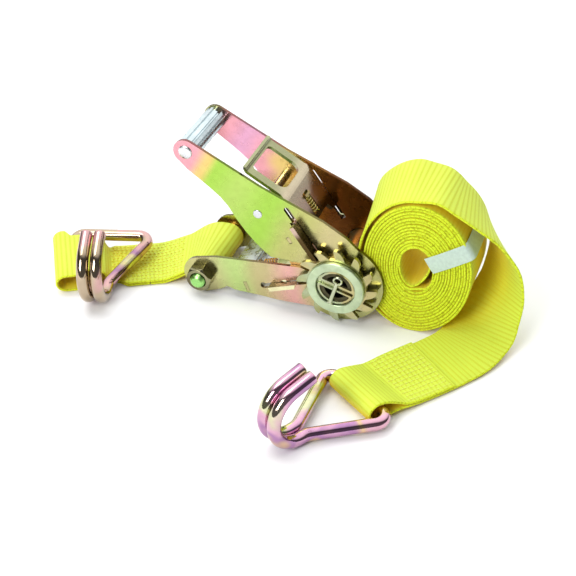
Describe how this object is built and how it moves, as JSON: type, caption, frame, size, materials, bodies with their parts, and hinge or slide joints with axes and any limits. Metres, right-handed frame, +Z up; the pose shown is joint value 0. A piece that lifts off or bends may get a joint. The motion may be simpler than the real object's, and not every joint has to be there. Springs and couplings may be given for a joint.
{
  "type": "ratchet strap",
  "caption": "Ratchet tie-down strap: hand ratchet with a short hooked strap and a separate long hooked strap, partly rolled up.",
  "frame": {"origin": "centre of the bounding box, on the floor", "axes": "+X from the ratchet anchor bolt towards the mandrel, +Y along the mandrel towards the rear plate, +Z up"},
  "size_m": [0.3614, 0.2226, 0.1249],
  "materials": {
    "plate_zinc": "yellow-passivated zinc, satin with pink and green sheen",
    "hook_zinc": "yellow-passivated zinc, glossy",
    "bright_zinc": "bright zinc",
    "hub_zinc": "pale blue-white zinc, satin",
    "webbing": "woven polyester, lemon yellow",
    "paper": "white paper tape"
  },
  "bodies": {
    "frame": {"frame_plate_front": "plate_zinc", "frame_plate_rear": "plate_zinc", "frame_cross_plate": "plate_zinc", "anchor_bolt": "bright_zinc", "anchor_nut": "bright_zinc", "anchor_sleeve": "plate_zinc", "frame_pawl_spring": "plate_zinc"},
    "frame_pawl": {"frame_pawl": "plate_zinc"},
    "handle": {"handle_plate_front": "plate_zinc", "handle_plate_rear": "plate_zinc", "grip_sleeve": "bright_zinc", "grip_rod": "bright_zinc", "handle_tie_rod": "bright_zinc", "handle_spring_seat": "plate_zinc", "handle_pawl_spring": "plate_zinc"},
    "handle_pawl": {"handle_pawl": "plate_zinc"},
    "mandrel": {"mandrel_half_upper": "plate_zinc", "mandrel_half_lower": "plate_zinc", "ratchet_gear_front": "plate_zinc", "ratchet_gear_rear": "plate_zinc", "hub_ring_front": "hub_zinc", "hub_ring_rear": "hub_zinc", "cotter_pin_front": "bright_zinc", "cotter_pin_rear": "bright_zinc"},
    "short_strap": {"short_strap": "webbing"},
    "short_hook": {"short_end_hook": "hook_zinc"},
    "long_strap": {"long_strap_run": "webbing", "long_strap_roll": "webbing", "roll_band": "paper"},
    "long_hook": {"long_end_hook": "hook_zinc"}
  },
  "joints": [
    {"name": "handle_swing", "type": "hinge", "parent": "frame", "child": "handle", "pos_m": [0.05074, 0.07125, 0.0327], "axis": [0, 1, 0], "range_deg": [-20, 30]},
    {"name": "mandrel_spin", "type": "hinge", "parent": "handle", "child": "mandrel", "pos_m": [0.05074, 0.07125, 0.0327], "axis": [0, 1, 0], "continuous": true},
    {"name": "handle_pawl_slide", "type": "slide", "parent": "handle", "child": "handle_pawl", "axis": [-0.5892, 0, 0.808], "range_m": [0, 0.007], "stiffness_N_per_m": 1200, "springref_m": -0.005, "deforming": ["handle_pawl_spring"]},
    {"name": "frame_pawl_slide", "type": "slide", "parent": "frame", "child": "frame_pawl", "axis": [0.9367, 0, 0.3502], "range_m": [0, 0.0062], "stiffness_N_per_m": 1500, "springref_m": -0.003, "deforming": ["frame_pawl_spring"]},
    {"name": "short_strap_swing", "type": "hinge", "parent": "frame", "child": "short_strap", "pos_m": [-0.05476, 0.07125, 0.0149], "axis": [0, 1, 0], "range_deg": [0, 25]},
    {"name": "short_hook_swing", "type": "hinge", "parent": "short_strap", "child": "short_hook", "pos_m": [-0.14867, 0.02931, 0.0113], "axis": [0.7079, -0.6848, -0.173], "range_deg": [0, 75]},
    {"name": "long_strap_slide", "type": "slide", "parent": "frame", "child": "long_strap", "axis": [1, 0, 0], "range_m": [0, 0.1]},
    {"name": "long_hook_swing", "type": "hinge", "parent": "long_strap", "child": "long_hook", "pos_m": [0.09274, -0.03955, 0.008], "axis": [-0.8553, 0.5181, 0], "range_deg": [0, 90]}
  ]
}
